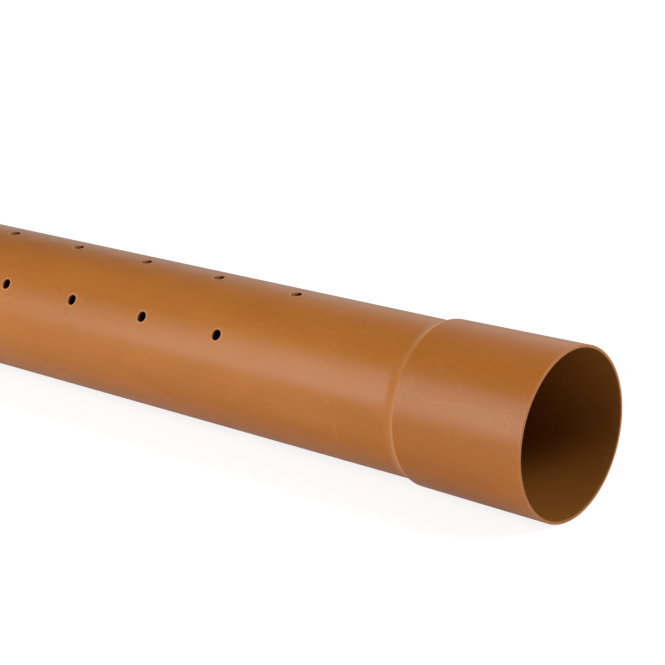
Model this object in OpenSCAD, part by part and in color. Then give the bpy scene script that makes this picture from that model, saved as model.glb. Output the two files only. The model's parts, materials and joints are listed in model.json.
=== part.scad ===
// Perforated drain pipe of PVC-U, one piece with a plain tapered socket.
// The pipe lies along X. The origin is on its axis at the root of the socket, where the next pipe's end
// stops: the socket's mouth opens towards +X, and the spigot end is one laying length away along -X.

/* [Barrel] */
// Laying length, from the root of the socket to the spigot end
laying_length = 2000; // [600:10:6000]
// Outside diameter of the barrel
barrel_od = 110; // [75:1:200]
// Wall of the barrel
barrel_wall = 2.2; // [1.8:0.1:6]

/* [Socket] */
// Depth of the socket, from its mouth to its root
socket_depth = 103; // [50:1:160]
// Play on the diameter between the seat in the socket and a pipe of the same size
seat_play = 0.5; // [0.2:0.1:1]
// Length of the straight seat at the root of the socket, before it widens towards the mouth
seat_length = 25; // [10:1:40]
// Wall of the socket at its root
root_wall = 2.35; // [1.5:0.05:6]
// Wall of the socket at its mouth
mouth_wall = 1.95; // [1.5:0.05:6]
// How much wider the outside of the socket is at its mouth than at its root
socket_taper = 2.1; // [0:0.1:5]
// Length of the conical shoulder that joins the barrel to the socket
shoulder_length = 7; // [4:1:20]
// Break on the edges of the mouth
mouth_break = 0.3; // [0.1:0.1:0.6]

/* [Spigot end] */
// Length of the lead-in chamfer on the spigot end
chamfer_length = 4; // [1:1:12]
// Angle of the lead-in chamfer to the axis
chamfer_angle = 15; // [10:1:20]

/* [Drain holes] */
// Diameter of a drain hole
hole_d = 8; // [5:0.5:12]
// Distance from one hole to the next in a row
hole_pitch = 75; // [30:1:150]
// Distance from the root of the socket to the first hole of the first row
first_hole = 127.5; // [40:0.5:300]
// Least plain length between the last hole and the spigot end
plain_end = 110; // [20:1:300]
// Angle of each row from the top of the pipe towards its front, -Y
row_angles = [5, 60];

/* [Hidden] */
$fn = 96;

barrel_r = barrel_od / 2;
bore_r = barrel_r - barrel_wall;
seat_r = barrel_r + seat_play / 2;
root_r = seat_r + root_wall;
mouth_r = root_r + socket_taper / 2;
chamfer_depth = chamfer_length * tan(chamfer_angle);
// Each row starts this much further along than the row before it, so that the holes are staggered
row_shift = hole_pitch / len(row_angles);

// Half section of the wall, as [radius, place along the axis], from the mouth down the outside and back up the bore
module wall_section()
    polygon([
        [mouth_r - mouth_break, socket_depth],
        [mouth_r, socket_depth - mouth_break],
        [root_r, 0],
        [barrel_r, -shoulder_length],
        [barrel_r, chamfer_length - laying_length],
        [barrel_r - chamfer_depth, -laying_length],
        [bore_r, -laying_length],
        [bore_r, -shoulder_length],
        [seat_r, 0],
        [seat_r, seat_length],
        [mouth_r - mouth_wall, socket_depth - mouth_break],
        [mouth_r - mouth_wall + mouth_break, socket_depth],
    ]);

// One row of holes through one wall of the barrel, at an angle from the top towards -Y
module hole_row(angle, first)
    rotate([angle, 0, 0])
        for (along = [first : hole_pitch : laying_length - plain_end])
            translate([-along, 0, 0])
                cylinder(h = root_r, d = hole_d);

module pipe()
    color("#b9783f")
        difference() {
            rotate([0, 90, 0])
                rotate_extrude()
                    wall_section();
            for (row = [0 : len(row_angles) - 1])
                hole_row(row_angles[row], first_hole + row * row_shift);
        }

pipe();
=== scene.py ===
"""Looks of the perforated drain pipe.

One closed skin of drawn PVC-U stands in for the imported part, on a floor, with soft light and a camera.
"""

import json
import math

import bpy
import numpy as np
from mathutils import Euler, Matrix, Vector

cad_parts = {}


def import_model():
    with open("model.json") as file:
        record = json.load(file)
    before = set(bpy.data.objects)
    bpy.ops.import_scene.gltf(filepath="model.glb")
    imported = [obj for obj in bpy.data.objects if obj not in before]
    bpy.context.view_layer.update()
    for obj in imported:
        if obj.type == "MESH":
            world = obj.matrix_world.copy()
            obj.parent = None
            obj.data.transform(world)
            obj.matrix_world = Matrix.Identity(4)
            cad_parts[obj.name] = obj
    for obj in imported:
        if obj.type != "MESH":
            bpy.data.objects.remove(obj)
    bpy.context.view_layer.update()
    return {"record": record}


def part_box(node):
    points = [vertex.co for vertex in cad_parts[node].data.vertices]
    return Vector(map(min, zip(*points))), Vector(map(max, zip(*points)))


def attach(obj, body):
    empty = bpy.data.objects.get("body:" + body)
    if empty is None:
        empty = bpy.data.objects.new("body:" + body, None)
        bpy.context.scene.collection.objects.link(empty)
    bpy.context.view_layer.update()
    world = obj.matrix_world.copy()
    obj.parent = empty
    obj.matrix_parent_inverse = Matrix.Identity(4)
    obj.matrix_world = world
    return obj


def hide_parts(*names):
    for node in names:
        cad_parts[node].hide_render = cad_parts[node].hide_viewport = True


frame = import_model()

MM = 0.001
MOUNTS = {m["name"]: m for m in frame["record"]["mounts"]}
BOX_LOW, BOX_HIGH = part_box("pipe")

# Sizes that the frame gives, in metres
MOUTH_X = BOX_HIGH.x
MOUTH = Vector((MOUTH_X, 0, 0))
END_X = BOX_LOW.x
BARREL_R = MOUNTS["spigot"]["dims"]["r_mm"] * MM
SEAT_R = MOUNTS["socket"]["dims"]["r_mm"] * MM
SEAT_LENGTH = MOUNTS["socket"]["dims"]["length_mm"] * MM

# The other sizes of the CAD source, in metres
BORE_R = BARREL_R - 2.2 * MM
ROOT_R = SEAT_R + 2.35 * MM
MOUTH_R = ROOT_R + 1.05 * MM
MOUTH_WALL = 1.95 * MM
SHOULDER_LENGTH = 7 * MM
CHAMFER_LENGTH = 4 * MM
CHAMFER_DEPTH = CHAMFER_LENGTH * math.tan(math.radians(15))
HOLE_R = 4 * MM
HOLE_PITCH = 75 * MM
FIRST_HOLE = 127.5 * MM
PLAIN_END = 110 * MM
# Angle of each row of holes from the top towards the front, -Y
ROW_TILTS = (math.radians(5), math.radians(60))
ROW_SHIFT = HOLE_PITCH / len(ROW_TILTS)


# ---------------------------------------------------------------- the skin

PATCH = 9 * MM  # half the side of the square of skin around a hole
PATCH_STEPS = 10  # faces along a side of that square
ARC_STEPS = 5  # faces around a filleted edge
COLUMN_STEP = math.radians(1.87)  # widest face around the pipe
PALE_REACH = 0.8 * MM  # how far the paleness of an edge, from whitening and painted light, fades out
CREST_REACH = 4 * MM  # everything nearer than this to the socket's root is the shoulder's crest
TOLERANCE = 0.0001 * MM  # places along X nearer together than this are one place


def outward(angle):
    """The direction away from the pipe's axis, at an angle from the top towards -Y."""
    return np.array([0.0, -math.sin(angle), math.cos(angle)])


def whole(x):
    """A place along X in whole thousandths of a millimetre, to tell places apart by."""
    return round(x / MM, 3)


def hole_places():
    """For each row, its angle and the place of each of its holes along X."""
    rows = []
    for row, tilt in enumerate(ROW_TILTS):
        first = FIRST_HOLE + row * ROW_SHIFT
        last = -END_X - PLAIN_END + TOLERANCE
        count = 1 + math.floor((last - first) / HOLE_PITCH)
        rows.append((tilt, [-(first + k * HOLE_PITCH) for k in range(count)]))
    return rows


def column_angles(half_band):
    """Angles of the lines along the pipe, and the number of the line that each row of holes starts at.

    A row is PATCH_STEPS equal steps wide.
    """
    angles, starts = [], []
    for row, tilt in enumerate(ROW_TILTS):
        starts.append(len(angles))
        following = ROW_TILTS[row + 1] if row + 1 < len(ROW_TILTS) else ROW_TILTS[0] + math.tau
        band = np.linspace(tilt - half_band, tilt + half_band, PATCH_STEPS + 1)
        gap = following - tilt - 2 * half_band
        steps = math.ceil(gap / COLUMN_STEP)
        plain = band[-1] + gap * np.arange(1, steps) / steps
        angles += list(band) + list(plain)
    return angles, starts


class Skin:
    """Points, faces and face corner normals of one closed skin.

    pale is 1 where the plastic is painted paler: whitened by cutting or wear, and on the crest, the rim and
    the holes' walls also painted light; bore is 1 on the inside of the pipe.
    """

    def __init__(self):
        self.places = []
        self.pale = []
        self.bore = []
        self.faces = []
        self.normals = []
        self.shared = {}

    def point(self, place, pale=0.0, bore=0.0):
        self.places.append(place)
        self.pale.append(pale)
        self.bore.append(bore)
        return len(self.places) - 1

    def shared_point(self, key, place, pale=0.0, bore=0.0):
        if key not in self.shared:
            self.shared[key] = self.point(place, pale, bore)
        return self.shared[key]

    def face(self, corners):
        """corners are (point, normal), anticlockwise from outside."""
        self.faces.append([c[0] for c in corners])
        self.normals += [c[1] for c in corners]

    def strip(self, loop, following):
        """Faces between two closed loops of (point, normal)."""
        for i in range(len(loop)):
            j = (i + 1) % len(loop)
            self.face([loop[i], following[i], following[j], loop[j]])

    def mesh(self, name):
        mesh = bpy.data.meshes.new(name)
        mesh.from_pydata([tuple(p) for p in self.places], [], self.faces)
        mesh.polygons.foreach_set("use_smooth", [True] * len(self.faces))
        mesh.attributes.new("pale", "FLOAT", "POINT").data.foreach_set("value", self.pale)
        mesh.attributes.new("bore", "FLOAT", "POINT").data.foreach_set("value", self.bore)
        mesh.normals_split_custom_set([tuple(n) for n in self.normals])
        mesh.validate()
        return mesh


def rounded_profile(corners):
    """A profile [(x, r, nx, nr, pale)] through corners (x, r, fillet, pale), with an arc at each.

    Normals point to the left. A corner with no fillet is one more point on a straight stretch.
    """
    profile = []

    def add(place, normal, pale):
        profile.append((place[0], place[1], normal[0], normal[1], pale))

    for i, (x, r, fillet, pale) in enumerate(corners):
        here = np.array([x, r])
        if i in (0, len(corners) - 1):
            other = corners[1] if i == 0 else corners[-2]
            way = (np.array(other[:2]) - here) * (1 if i == 0 else -1)
            way /= np.linalg.norm(way)
            add(here, (-way[1], way[0]), pale)
            continue
        before = here - np.array(corners[i - 1][:2])
        after = np.array(corners[i + 1][:2]) - here
        before, after = before / np.linalg.norm(before), after / np.linalg.norm(after)
        turn = math.atan2(before[0] * after[1] - before[1] * after[0], before @ after)
        reach = fillet * math.tan(abs(turn) / 2)
        start = here - before * reach
        left = np.array([-before[1], before[0]])
        centre = start + left * math.copysign(fillet, turn)
        if pale and not corners[i - 1][3]:
            add(start - before * PALE_REACH, left, 0)
        steps = ARC_STEPS if fillet else 0
        for step in range(steps + 1):
            angle = turn * step / max(steps, 1)
            c, s = math.cos(angle), math.sin(angle)
            normal = np.array([c * left[0] - s * left[1], s * left[0] + c * left[1]])
            add(centre - normal * math.copysign(fillet, turn), normal, pale)
        if pale and not corners[i + 1][3]:
            add(here + after * (reach + PALE_REACH), normal, 0)
    return profile


def crest_highlight(x, angle):
    """A painted highlight: the shoulder's crest is painted pale by an amount that comes and goes around the
    pipe. Other edges keep theirs.
    """
    return 0.75 + 0.45 * math.cos(3 * angle) if abs(x) < CREST_REACH else 1.0


def revolve(skin, profile, angles, first_ring, last_ring):
    """Turns a profile around X. first_ring and last_ring are the names of the sheets that its ends join."""
    rings = []
    for i, (x, r, nx, nr, pale) in enumerate(profile):
        ring = []
        for column, angle in enumerate(angles):
            away = outward(angle)
            place = np.array([x, 0, 0]) + r * away
            normal = np.array([nx, 0, 0]) + nr * away
            bore = 1.0 if nr < -0.5 else 0.0
            whitening_and_painted_light = pale * crest_highlight(x, angle)
            if i == 0:
                at = skin.shared_point((first_ring, whole(x), column), place, whitening_and_painted_light, bore)
            elif i == len(profile) - 1:
                at = skin.shared_point((last_ring, whole(x), column), place, whitening_and_painted_light, bore)
            else:
                at = skin.point(place, whitening_and_painted_light, bore)
            ring.append((at, normal))
        rings.append(ring)
    for ring, following in zip(rings, rings[1:]):
        for i in range(len(ring)):
            j = (i + 1) % len(ring)
            skin.face([ring[i], ring[j], following[j], following[i]])


def sheet(skin, name, radius, facing, x_from, x_to, angles, starts, rows):
    """The barrel's outer (facing 1) or inner (facing -1) skin, with a square left out around each hole."""
    marks = sorted({x_from, x_to} | {x for _, places in rows for x in places})
    edge_steps = PATCH * np.linspace(-1, 1, PATCH_STEPS + 1)
    lines = {}
    for start, (_, places) in zip(starts, rows):
        fine = {whole(x) for x in marks} | {whole(x + u) for x in places for u in edge_steps}
        lines[start] = lines[start + PATCH_STEPS] = [x * MM for x in sorted(fine)]

    def corner(x, column):
        column %= len(angles)
        away = outward(angles[column])
        place = np.array([x, 0, 0]) + radius * away
        key = (name, whole(x), column)
        return skin.shared_point(key, place, bore=float(facing < 0)), facing * away

    def stops_between(x0, x1, column):
        line = lines.get(column % len(angles), (x0, x1))
        return [x for x in line if x0 - TOLERANCE <= x <= x1 + TOLERANCE]

    def cell(x0, x1, column):
        left = stops_between(x0, x1, column)
        right = stops_between(x0, x1, column + 1)
        corners = [corner(x, column + 1) for x in right] + [corner(x, column) for x in reversed(left)]
        skin.face(corners[::facing])

    def banded_cell(x0, x1, column):
        around = ((x0, column), (x0, column + 1), (x1, column + 1), (x1, column))
        skin.face([corner(*place) for place in around][::facing])

    banded = {start + i: places for start, (_, places) in zip(starts, rows) for i in range(PATCH_STEPS)}
    for column in range(len(angles)):
        if column in banded:
            ends = [x_from] + [x + u for x in sorted(banded[column]) for u in (-PATCH, PATCH)] + [x_to]
            for gap_from, gap_to in zip(ends[::2], ends[1::2]):
                inner_marks = [x for x in marks if gap_from + TOLERANCE < x < gap_to - TOLERANCE]
                stops = [gap_from] + inner_marks + [gap_to]
                for x0, x1 in zip(stops, stops[1:]):
                    banded_cell(x0, x1, column)
        else:
            for x0, x1 in zip(marks, marks[1:]):
                cell(x0, x1, column)


# The section of a hole's edge, from the skin outside to the skin inside. A drill leaves a low burr.
# Each: distance past the hole's radius and height over the skin in mm, angle of the normal from outward to
# away from the hole's axis, side of the wall, and paleness.
# The walls' paleness is partly drill whitening and partly painted light, on walls that lie in shade
HOLE_SECTION = (
    (1.7, 0.0, 0, "outer", 0.0),
    (1.0, 0.02, 4, "outer", 0.5),
    (0.5, 0.06, 6, "outer", 0.9),
    (0.28, 0.07, -6, "outer", 1.0),
    (0.1, 0.03, -38, "outer", 1.0),
    (0.02, -0.06, -72, "outer", 0.9),
    (0.0, -0.16, -90, "outer", 1.2),
    (0.0, 0.16, -90, "inner", 1.1),
    (0.03, 0.06, -110, "inner", 0.4),
    (0.14, -0.03, -150, "inner", 0.3),
    (0.4, -0.05, 180, "inner", 0.2),
    (1.7, 0.0, 180, "inner", 0.0),
)
SQUARE_SHARE = 0.45  # how far the loop between that section and the square is on its way to the square


def drill(skin, x_hole, tilt, start, angles, half_band, rng):
    """The skin of one hole, through the wall from its square on the outer sheet to that on the inner."""
    count = 4 * PATCH_STEPS
    turns = -math.pi / 4 + math.tau * np.arange(count) / count
    steps = np.linspace(-1, 1, PATCH_STEPS + 1)[:-1]
    ones = np.ones(PATCH_STEPS)
    along = np.concatenate([ones, -steps, -ones, steps])
    across = np.concatenate([steps, ones, -steps, -ones])
    burr = 1 + 0.45 * np.sin(turns + rng.uniform(0, 6)) + 0.35 * np.sin(3 * turns + rng.uniform(0, 6))
    radii = {"outer": BARREL_R, "inner": BORE_R}

    def at(u, w, radius, lift):
        turn = math.asin(w / radius)
        return np.array([x_hole + u, 0, 0]) + (radius + lift) * outward(tilt + turn), outward(tilt + turn)

    def square(side):
        loop = []
        for i in range(count):
            column = (start + round((across[i] + 1) / 2 * PATCH_STEPS)) % len(angles)
            x = x_hole + along[i] * PATCH
            away = outward(angles[column])
            place = np.array([x, 0, 0]) + radii[side] * away
            key = (side, whole(x), column)
            inside = side == "inner"
            loop.append((skin.shared_point(key, place, bore=float(inside)), -away if inside else away))
        return loop

    def between(side, share):
        """A loop that is this share of the way from the outermost circle of the section to the square."""
        radius, circle = radii[side], HOLE_R + HOLE_SECTION[0][0] * MM
        loop = []
        for i, turn in enumerate(turns):
            u = (1 - share) * circle * math.cos(turn) + share * along[i] * PATCH
            w = (1 - share) * circle * math.sin(turn) + share * radius * math.sin(across[i] * half_band)
            place, away = at(u, w, radius, 0)
            inside = side == "inner"
            loop.append((skin.point(place, bore=float(inside)), -away if inside else away))
        return loop

    def circle(distance, height, lean, side, pale):
        loop = []
        for i, turn in enumerate(turns):
            r = HOLE_R + distance * MM
            u, w = r * math.cos(turn), r * math.sin(turn)
            rise = height * (burr[i] if height * (1 if side == "outer" else -1) > 0 else 1)
            place, away = at(u, w, radii[side], rise * MM)
            flat = np.array([math.cos(turn), 0, 0]) + math.sin(turn) * np.cross(outward(tilt), [1.0, 0, 0])
            lean_by = math.radians(lean)
            normal = math.cos(lean_by) * away + math.sin(lean_by) * flat
            bore = float(abs(lean) > 170)
            loop.append((skin.point(place, pale, bore), normal / np.linalg.norm(normal)))
        return loop

    loops = [square("outer"), between("outer", SQUARE_SHARE)]
    loops += [circle(*station) for station in HOLE_SECTION]
    loops += [between("inner", SQUARE_SHARE), square("inner")]
    for loop, following in zip(loops, loops[1:]):
        skin.strip(loop, following)


def pipe_mesh():
    """The whole skin: the socket, the spigot end, the barrel's two sheets and the holes between them."""
    skin = Skin()
    rows = hole_places()
    half_band = math.asin(PATCH / BARREL_R)
    angles, starts = column_angles(half_band)
    outer_from = END_X + CHAMFER_LENGTH + 2 * MM
    outer_to = -SHOULDER_LENGTH - 4 * MM
    inner_from = END_X + 2 * MM
    inner_to = -SHOULDER_LENGTH - 2 * MM
    # Over the outside: up the soft ramp of the shoulder to its crest, painted pale as a highlight, to the
    # mouth, and back inside
    socket = rounded_profile([
        (outer_to, BARREL_R, 0, 0),
        (-SHOULDER_LENGTH, BARREL_R, 20 * MM, 0),
        (-3.4 * MM, BARREL_R + 1.0 * MM, 8 * MM, 0),
        # The crest's paleness is a painted highlight
        (-2.2 * MM, BARREL_R + 1.46 * MM, 0, 0.05),
        (-1.0 * MM, BARREL_R + 1.91 * MM, 0, 0.4),
        (0.8 * MM, ROOT_R, 4 * MM, 0.9),
        (MOUTH_X - 6 * MM, MOUTH_R - 0.08 * MM, 20 * MM, 0),
        # The rim's paleness is partly cut-edge whitening and partly painted light
        (MOUTH_X, MOUTH_R, 0.35 * MM, 0.6),
        (MOUTH_X, MOUTH_R - MOUTH_WALL, 0.15 * MM, 0.6),
        (SEAT_LENGTH, SEAT_R, 40 * MM, 0),
        (0, SEAT_R, 2 * MM, 0),
        (-SHOULDER_LENGTH, BORE_R, 2 * MM, 0),
        (inner_to, BORE_R, 0, 0),
    ])
    spigot = rounded_profile([
        (inner_from, BORE_R, 0, 0),
        (END_X, BORE_R, 0.3 * MM, 0.6),
        (END_X, BARREL_R - CHAMFER_DEPTH, 0.2 * MM, 0.6),
        (END_X + CHAMFER_LENGTH, BARREL_R, 0.8 * MM, 0.4),
        (outer_from, BARREL_R, 0, 0),
    ])
    revolve(skin, socket, angles, "outer", "inner")
    revolve(skin, spigot, angles, "inner", "outer")
    sheet(skin, "outer", BARREL_R, 1, outer_from, outer_to, angles, starts, rows)
    sheet(skin, "inner", BORE_R, -1, inner_from, inner_to, angles, starts, rows)
    rng = np.random.default_rng(11)
    for start, (tilt, places) in zip(starts, rows):
        for x in places:
            drill(skin, x, tilt, start, angles, half_band, rng)
    return skin.mesh("pipe_skin")


# ---------------------------------------------------------------- materials

class Nodes:
    """Short names for adding nodes to one material or world."""

    def __init__(self, owner):
        owner.use_nodes = True
        self.tree = owner.node_tree
        self.tree.nodes.clear()

    def add(self, kind, **inputs):
        node = self.tree.nodes.new(kind)
        for key, value in inputs.items():
            if key in node.inputs:
                self.feed(node.inputs[key], value)
            else:
                setattr(node, key, value)
        return node

    def feed(self, socket, value):
        if isinstance(value, bpy.types.NodeSocket):
            self.tree.links.new(value, socket)
        else:
            socket.default_value = value

    def math(self, operation, a, b=0.0, clamp=False):
        node = self.add("ShaderNodeMath", operation=operation, use_clamp=clamp)
        self.feed(node.inputs[0], a)
        self.feed(node.inputs[1], b)
        return node.outputs[0]

    def ramp(self, value, low, high, to_low=0.0, to_high=1.0):
        node = self.add("ShaderNodeMapRange", interpolation_type="SMOOTHSTEP")
        for socket, number in zip(node.inputs, (value, low, high, to_low, to_high)):
            self.feed(socket, number)
        return node.outputs[0]

    def mix(self, share, a, b):
        node = self.add("ShaderNodeMix", data_type="RGBA")
        self.feed(node.inputs[0], share)
        self.feed(node.inputs[6], a)
        self.feed(node.inputs[7], b)
        return node.outputs[2]

    def cells(self, size, turn=(0, 0, 0)):
        """Object coordinates turned by turn and counted in cells of the given size in metres."""
        node = self.add("ShaderNodeMapping", vector_type="TEXTURE")
        self.feed(node.inputs["Vector"], self.add("ShaderNodeTexCoord").outputs["Object"])
        node.inputs["Rotation"].default_value = turn
        node.inputs["Scale"].default_value = size
        return node.outputs["Vector"]

    def noise(self, size, detail=2.0, roughness=0.5, distortion=0.0, turn=(0, 0, 0)):
        node = self.add("ShaderNodeTexNoise")
        self.feed(node.inputs["Vector"], self.cells(size, turn))
        node.inputs["Scale"].default_value = 1.0
        node.inputs["Detail"].default_value = detail
        node.inputs["Roughness"].default_value = roughness
        node.inputs["Distortion"].default_value = distortion
        return node.outputs["Fac"]


PVC = (0.46, 0.152, 0.021, 1)
PVC_LIGHT = (0.50, 0.172, 0.028, 1)
PVC_DARK = (0.41, 0.130, 0.018, 1)
# The bore's colour is darker than the outside plastic: painted shade inside the pipe
PVC_BORE_SHADED = (0.305, 0.112, 0.0185, 1)
PVC_PALE = (0.72, 0.31, 0.125, 1)
BLOT = (0.25, 0.115, 0.02, 1)
SPECK = (0.16, 0.05, 0.012, 1)
SOCKET_SHADE_SHARE = 0.85  # how far the socket is darkened: painted shade, for the light that falls off towards the mouth
SPECK_SHARE = 0.5  # how dark a speck is
BLOT_SHARE = 0.36  # how dark a smudge is
EDGE_SHARE = 0.5  # how pale an edge is painted, for whitening and painted light
WORN_SHARE = 0.2  # how white a scuff is
BUMP_STRENGTH = 0.25
BUMP_DEPTH = 0.05 * MM

# Single marks, on the skin laid flat, in mm: (place along X, way around from the top towards -Y).
# A stroke is a longer scratch: its start and end, how far it bows to its left, and how deep it is.
STROKES = (
    ((18, 66.5), (28.5, 70.4), 0.4, 1.1),
    ((28, 70.4), (80, 67.5), -1.6, 1.2),
    ((-51, 103.5), (-51, 117), 0.2, 2.2),
    ((-51.4, 112), (-45.4, 126), 0.9, 2.2),
    ((-56, 104), (-52.8, 111), 0.0, 1.2),
)
# A scuff is a patch of crumbled marks: its middle and its reach each way.
SCUFFS = (
    ((89, 71), (11, 13)),
    ((76, 73), (9, 5)),
    ((26, 71), (7, 5)),
    ((10, 62), (6, 10)),
)
# Fine scratches run three ways: how each set is turned, and how the patches that keep it are turned.
SCRATCH_TURNS = (
    ((0, 0.10, 0.06), (0.4, 0, 0)),
    ((0, -0.05, 0.22), (1.1, 0, 0)),
    ((0, 0.32, -0.15), (2.3, 0, 0)),
)


def laid_flat(n, place):
    """Where a point of the skin comes to lie when the pipe is unrolled: (along X, around, 0), in metres."""
    turn = n.math("ARCTAN2", n.math("MULTIPLY", place.outputs["Y"], -1.0), place.outputs["Z"])
    flat = n.add("ShaderNodeCombineXYZ")
    n.feed(flat.inputs["X"], place.outputs["X"])
    n.feed(flat.inputs["Y"], n.math("MULTIPLY", turn, ROOT_R))
    return flat.outputs[0]


def stroke(n, flat, start, end, bow, depth):
    """One scratch as deep as depth, bowed and fading at both ends."""
    way = Vector(end) - Vector(start)
    along = n.add("ShaderNodeMapping", vector_type="TEXTURE")
    n.feed(along.inputs["Vector"], flat)
    along.inputs["Location"].default_value = (start[0] * MM, start[1] * MM, 0)
    along.inputs["Rotation"].default_value = (0, 0, math.atan2(way.y, way.x))
    along.inputs["Scale"].default_value = (way.length * MM, MM, MM)
    split = n.add("ShaderNodeSeparateXYZ")
    n.feed(split.inputs[0], along.outputs["Vector"])
    share = split.outputs["X"]
    side = split.outputs["Y"]
    bowed = n.math("MULTIPLY", n.math("SINE", n.math("MULTIPLY", share, math.pi)), bow)
    off = n.math("ABSOLUTE", n.math("SUBTRACT", side, bowed))
    ends = n.math("MULTIPLY", n.ramp(share, 0.0, 0.12), n.ramp(share, 0.8, 1.0, 1.0, 0.0))
    return n.math("MULTIPLY", n.ramp(off, 0.15, 0.5, depth, 0.0), ends)


def scuff(n, flat, middle, reach):
    """1 in the middle of an oval patch, and 0 past its reach."""
    spread = n.add("ShaderNodeMapping", vector_type="TEXTURE")
    n.feed(spread.inputs["Vector"], flat)
    spread.inputs["Location"].default_value = (middle[0] * MM, middle[1] * MM, 0)
    spread.inputs["Scale"].default_value = (reach[0] * MM, reach[1] * MM, MM)
    away = n.add("ShaderNodeVectorMath", operation="LENGTH")
    n.feed(away.inputs[0], spread.outputs["Vector"])
    return n.ramp(away.outputs["Value"], 0.3, 1.0, 1.0, 0.0)


def scratches(n, turn, patch_turn):
    """Fine scratches, each a few centimetres long, along the X axis as turned."""
    line = n.noise((70 * MM, 0.7 * MM, 0.7 * MM), detail=0, distortion=0.4, turn=turn)
    kept = n.noise((45 * MM, 18 * MM, 18 * MM), detail=1, turn=patch_turn)
    return n.math("MULTIPLY", n.ramp(line, 0.72, 0.80), n.ramp(kept, 0.54, 0.62))


def wear(n, place):
    """0 to 2.2, by how scuffed the plastic is: drifts of small flecks, fine scratches, and single marks."""
    mouth = n.ramp(place.outputs["X"], 0.0, MOUTH_X, 0.0, 0.08)
    spigot = n.ramp(place.outputs["X"], END_X, END_X + 0.25, 0.08, 0.0)
    drift = n.math("ADD", n.noise((70 * MM, 24 * MM, 24 * MM), detail=2), n.math("MAXIMUM", mouth, spigot))
    drift = n.ramp(drift, 0.50, 0.66)
    flecks = n.ramp(n.noise((1.9 * MM, 1.1 * MM, 1.1 * MM), detail=3, roughness=0.6), 0.54, 0.66, 0.0, 0.75)
    worn = n.math("MULTIPLY", drift, flecks)
    for turn, patch_turn in SCRATCH_TURNS:
        worn = n.math("MAXIMUM", worn, scratches(n, turn, patch_turn))
    flat = laid_flat(n, place)
    for start, end, bow, depth in STROKES:
        worn = n.math("MAXIMUM", worn, stroke(n, flat, start, end, bow, depth))
    scuffed = 0.0
    for middle, reach in SCUFFS:
        scuffed = n.math("MAXIMUM", scuff(n, flat, middle, reach), scuffed)
    crumbs = n.noise((2.6 * MM, 1.9 * MM, 1.9 * MM), detail=2, distortion=1.4)
    crumbs = n.ramp(crumbs, 0.50, 0.58, 0.0, 1.25)
    return n.math("MAXIMUM", worn, n.math("MULTIPLY", scuffed, crumbs))


def specks(n):
    """1 in small round specks, in patches."""
    cells = n.add("ShaderNodeTexVoronoi", feature="F1")
    n.feed(cells.inputs["Vector"], n.cells((6.2 * MM, 6.2 * MM, 6.2 * MM)))
    cells.inputs["Scale"].default_value = 1.0
    speck = n.ramp(cells.outputs["Distance"], 0.05, 0.13, 1.0, 0.0)
    return n.math("MULTIPLY", speck, n.ramp(n.noise((33 * MM, 33 * MM, 33 * MM)), 0.58, 0.66))


def blots(n, place):
    """BLOT_SHARE in smudges a few millimetres long, in patches, with half of it on the socket."""
    blot = n.noise((7 * MM, 4 * MM, 4 * MM), detail=2, distortion=1.2, turn=(0.5, 0, 0))
    patch = n.noise((150 * MM, 45 * MM, 45 * MM), detail=1, turn=(1.7, 0, 0))
    patch = n.ramp(patch, 0.45, 0.57, 0.0, BLOT_SHARE)
    patch = n.math("MULTIPLY", patch, n.ramp(place.outputs["X"], -0.30, 0.0, 1.0, 0.5))
    return n.math("MULTIPLY", n.ramp(blot, 0.60, 0.68), patch)


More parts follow.
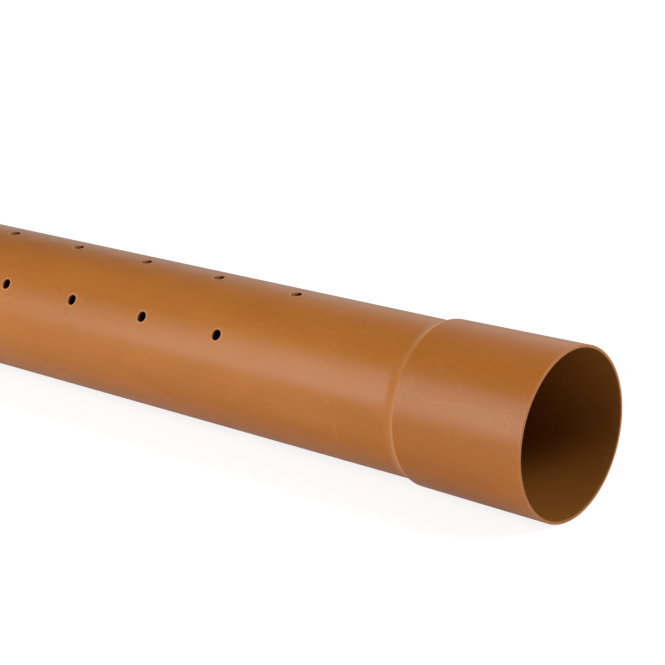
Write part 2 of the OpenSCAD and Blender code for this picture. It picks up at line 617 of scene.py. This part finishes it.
def pvc_material():
    """Drawn orange-brown plastic, faintly streaked and mottled along the pipe, with wear over it, painted
    shade on the socket and in the bore, and painted light on the shoulder's crest, the rim and the hole
    walls.
    """
    material = bpy.data.materials.new("orange_brown_pvc")
    n = Nodes(material)
    cloud = n.noise((110 * MM, 38 * MM, 38 * MM), detail=3)
    streak = n.noise((200 * MM, 2.4 * MM, 2.4 * MM), detail=3, roughness=0.6)
    mottle = n.noise((5 * MM, 3 * MM, 3 * MM), detail=3, roughness=0.6)
    grain = n.noise((1.1 * MM, 1.1 * MM, 1.1 * MM), detail=2)
    colour = n.mix(n.ramp(cloud, 0.3, 0.7), PVC_DARK, PVC_LIGHT)
    colour = n.mix(0.5, colour, PVC)
    colour = n.mix(n.ramp(streak, 0.35, 0.75, 0.0, 0.35), colour, PVC_DARK)
    colour = n.mix(n.ramp(mottle, 0.45, 0.75, 0.0, 0.35), colour, PVC_LIGHT)
    place = n.add("ShaderNodeSeparateXYZ")
    n.feed(place.inputs[0], n.add("ShaderNodeTexCoord").outputs["Object"])
    # Painted shade: the whole socket, from the shoulder on, is darkened for the light that falls off towards
    # the mouth
    socket = n.ramp(place.outputs["X"], -3 * MM, 3 * MM, 0.0, SOCKET_SHADE_SHARE)
    colour = n.mix(socket, colour, PVC_DARK)

    bore = n.add("ShaderNodeAttribute", attribute_name="bore").outputs["Fac"]
    # Painted shade: the inside of the pipe takes the darker bore colour
    colour = n.mix(bore, colour, PVC_BORE_SHADED)
    colour = n.mix(n.math("MULTIPLY", specks(n), SPECK_SHARE), colour, SPECK)
    colour = n.mix(blots(n, place), colour, BLOT)

    worn = wear(n, place)
    pale = n.add("ShaderNodeAttribute", attribute_name="pale").outputs["Fac"]
    # Edge paleness: whitening, with a painted highlight on the crest and painted light on the rim and the
    # hole walls
    edges = n.math("MULTIPLY", pale, EDGE_SHARE)
    whitening_and_painted_light = n.math("ADD", edges, n.math("MULTIPLY", worn, WORN_SHARE), clamp=True)
    colour = n.mix(whitening_and_painted_light, colour, PVC_PALE)

    roughness = n.ramp(n.noise((50 * MM, 17 * MM, 17 * MM), detail=4), 0.25, 0.75, 0.29, 0.35)
    roughness = n.math("ADD", roughness, n.math("MULTIPLY", worn, 0.10))
    height = n.math("ADD", n.math("MULTIPLY", streak, 0.5), n.math("MULTIPLY", grain, 0.25))
    height = n.math("SUBTRACT", height, n.math("MULTIPLY", worn, 0.35))
    bump = n.add("ShaderNodeBump")
    bump.inputs["Strength"].default_value = BUMP_STRENGTH
    bump.inputs["Distance"].default_value = BUMP_DEPTH
    n.feed(bump.inputs["Height"], height)

    shader = n.add("ShaderNodeBsdfPrincipled")
    shader.inputs["IOR"].default_value = 1.5
    shader.inputs["Specular IOR Level"].default_value = 0.36
    n.feed(shader.inputs["Base Color"], colour)
    n.feed(shader.inputs["Roughness"], roughness)
    n.feed(shader.inputs["Normal"], bump.outputs["Normal"])
    out = n.add("ShaderNodeOutputMaterial")
    n.feed(out.inputs["Surface"], shader.outputs["BSDF"])
    return material


# ---------------------------------------------------------------- studio

FLOOR_HALF = 30.0
FLOOR_PAINT = 0.76  # what light meets
SEEN_PAINT = 0.35  # what the camera meets, with the glow below added
SEEN_GLOW = 0.82
# Between these distances from the pipe, where its shadow has run out, the floor fades to pure white
SHADOW_REACH = (0.4, 1.3)
GLOSS_GLOW = 0.10  # of the floor and the skyline, as the pipe's gloss shows them
AMBIENT = 0.12  # from all sides
RIGHT_DIM = 0.42  # share of the glow and ambient light that is left at +X, in front of the mouth
LEFT_GLOW = 1.2  # low down at -X
HIGH_GLOW = 0.88  # part of the way up, at +Y
HIGH_WAY = Vector((0.3, 0.85, 0.42)).normalized()


def grey(level):
    return (level, level, level, 1)


def ray_kinds(n):
    """1 for rays from the camera or through glass, and 1 for rays off gloss."""
    path = n.add("ShaderNodeLightPath")
    seen = n.math("MAXIMUM", path.outputs["Is Camera Ray"], path.outputs["Is Transmission Ray"])
    return seen, path.outputs["Is Glossy Ray"]


def floor():
    """A pale floor that keeps the pipe's shadow, lifted to white where the camera sees it."""
    mesh = bpy.data.meshes.new("floor")
    corners = ((-1, -1), (1, -1), (1, 1), (-1, 1))
    mesh.from_pydata([(x * FLOOR_HALF, y * FLOOR_HALF, BOX_LOW.z) for x, y in corners], [], [(0, 1, 2, 3)])
    material = bpy.data.materials.new("pale_floor")
    n = Nodes(material)
    seen, glossy = ray_kinds(n)
    paint = n.add("ShaderNodeBsdfDiffuse")
    n.feed(paint.inputs["Color"], n.mix(seen, grey(FLOOR_PAINT), grey(SEEN_PAINT)))
    away = n.add("ShaderNodeSeparateXYZ")
    n.feed(away.inputs[0], n.add("ShaderNodeTexCoord").outputs["Object"])
    middle = (END_X + MOUTH_X) / 2
    beside = n.math("ABSOLUTE", away.outputs["Y"])
    from_middle = n.math("ABSOLUTE", n.math("SUBTRACT", away.outputs["X"], middle))
    beyond = n.math("SUBTRACT", from_middle, MOUTH_X - middle)
    far = n.ramp(n.math("MAXIMUM", beside, beyond), SHADOW_REACH[0], SHADOW_REACH[1], SEEN_GLOW, 1.0)
    glow = n.add("ShaderNodeEmission")
    lift = n.math("MAXIMUM", n.math("MULTIPLY", seen, far), n.math("MULTIPLY", glossy, GLOSS_GLOW))
    n.feed(glow.inputs["Strength"], lift)
    white = n.add("ShaderNodeAddShader")
    n.feed(white.inputs[0], paint.outputs[0])
    n.feed(white.inputs[1], glow.outputs[0])
    out = n.add("ShaderNodeOutputMaterial")
    n.feed(out.inputs["Surface"], white.outputs[0])
    material.cycles.emission_sampling = "NONE"
    mesh.materials.append(material)
    plane = bpy.data.objects.new("floor", mesh)
    bpy.context.scene.collection.objects.link(plane)


def world():
    """A dim studio with two soft glows, and a white backdrop where the camera sees it."""
    scene_world = bpy.data.worlds.new("studio")
    bpy.context.scene.world = scene_world
    n = Nodes(scene_world)
    direction = n.add("ShaderNodeTexCoord").outputs["Generated"]
    split = n.add("ShaderNodeSeparateXYZ")
    n.feed(split.inputs[0], direction)
    left = n.ramp(split.outputs["Z"], 0.05, 0.5, LEFT_GLOW, 0.0)
    sideways = n.ramp(split.outputs["X"], -0.95, 0.0, 1.0, 0.0)
    off_the_end = n.ramp(split.outputs["X"], -1.0, -0.85, 0.3, 1.0)
    at_the_back = n.ramp(split.outputs["Y"], 0.2, 0.75, 1.0, 0.6)
    at_the_floor = n.ramp(split.outputs["Z"], -0.02, 0.2, 0.7, 1.0)
    for share in (sideways, off_the_end, at_the_back, at_the_floor):
        left = n.math("MULTIPLY", left, share)
    towards = n.add("ShaderNodeVectorMath", operation="DOT_PRODUCT")
    n.feed(towards.inputs[0], direction)
    towards.inputs[1].default_value = HIGH_WAY
    risen = n.ramp(split.outputs["Z"], -0.02, 0.35, 0.0, HIGH_GLOW)
    high = n.math("MULTIPLY", n.ramp(towards.outputs["Value"], 0.3, 0.85), risen)
    right = n.ramp(split.outputs["X"], 0.0, 0.6, 1.0, RIGHT_DIM)
    level = n.math("ADD", left, n.math("MULTIPLY", n.math("ADD", high, AMBIENT), right))
    seen, glossy = ray_kinds(n)
    skyline = n.math("MULTIPLY", glossy, n.ramp(split.outputs["Z"], 0.0, 0.1, GLOSS_GLOW, 0.0))
    background = n.add("ShaderNodeBackground")
    background.inputs["Color"].default_value = (1, 1, 1, 1)
    n.feed(background.inputs["Strength"], n.math("MAXIMUM", level, n.math("MAXIMUM", skyline, seen)))
    out = n.add("ShaderNodeOutputWorld")
    n.feed(out.inputs["Surface"], background.outputs[0])


# The key light is two softboxes one over the other, in front of the pipe and along most of it
KEY_X = -0.745
KEY_Y = -1.45
KEY_LENGTH = 1.91
KEY_LOWER = {"z": 0.46, "height": 1.08, "radiance": 3.19}
KEY_UPPER = {"z": 1.31, "height": 0.62, "radiance": 2.5}
# A small one shines down into the socket
FILL_FROM_MOUTH = Vector((0.45, 0.17, 0.55))
FILL_SIDE = 0.3
FILL_RADIANCE = 9.6


def softbox(name, place, aim, width, height, radiance):
    lamp = bpy.data.lights.new(name, "AREA")
    lamp.shape = "RECTANGLE"
    lamp.size, lamp.size_y = width, height
    lamp.energy = radiance * math.pi * width * height
    obj = bpy.data.objects.new(name, lamp)
    obj.location = place
    obj.rotation_euler = (Vector(aim) - Vector(place)).to_track_quat("-Z", "Y").to_euler()
    obj.visible_camera = False
    bpy.context.scene.collection.objects.link(obj)


def key_box(name, z, height, radiance):
    softbox(name, (KEY_X, KEY_Y, z), (KEY_X, 0, z), KEY_LENGTH, height, radiance)


VIEW_AZIMUTH = math.radians(40.59)
VIEW_ELEVATION = math.radians(15.56)
LENS_MM = 105.1
SENSOR_MM = 36.0
CAMERA_FROM_MOUTH = Vector((0.6473, -0.9904, 0.3944))


def camera():
    data = bpy.data.cameras.new("camera")
    data.sensor_width = SENSOR_MM
    data.lens = LENS_MM
    obj = bpy.data.objects.new("camera", data)
    obj.location = MOUTH + CAMERA_FROM_MOUTH
    obj.rotation_euler = Euler((math.pi / 2 - VIEW_ELEVATION, 0, VIEW_AZIMUTH))
    bpy.context.scene.collection.objects.link(obj)
    bpy.context.scene.camera = obj


# ---------------------------------------------------------------- the scene

bpy.context.scene.view_settings.view_transform = "Standard"
camera()
world()
floor()
key_box("key_front", **KEY_LOWER)
key_box("key_upper", **KEY_UPPER)
softbox("mouth_fill", MOUTH + FILL_FROM_MOUTH, MOUTH, FILL_SIDE, FILL_SIDE, FILL_RADIANCE)

pipe = bpy.data.objects.new("perforated_pipe", pipe_mesh())
bpy.context.scene.collection.objects.link(pipe)
pipe.data.materials.append(pvc_material())
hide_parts("pipe")
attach(pipe, "root")
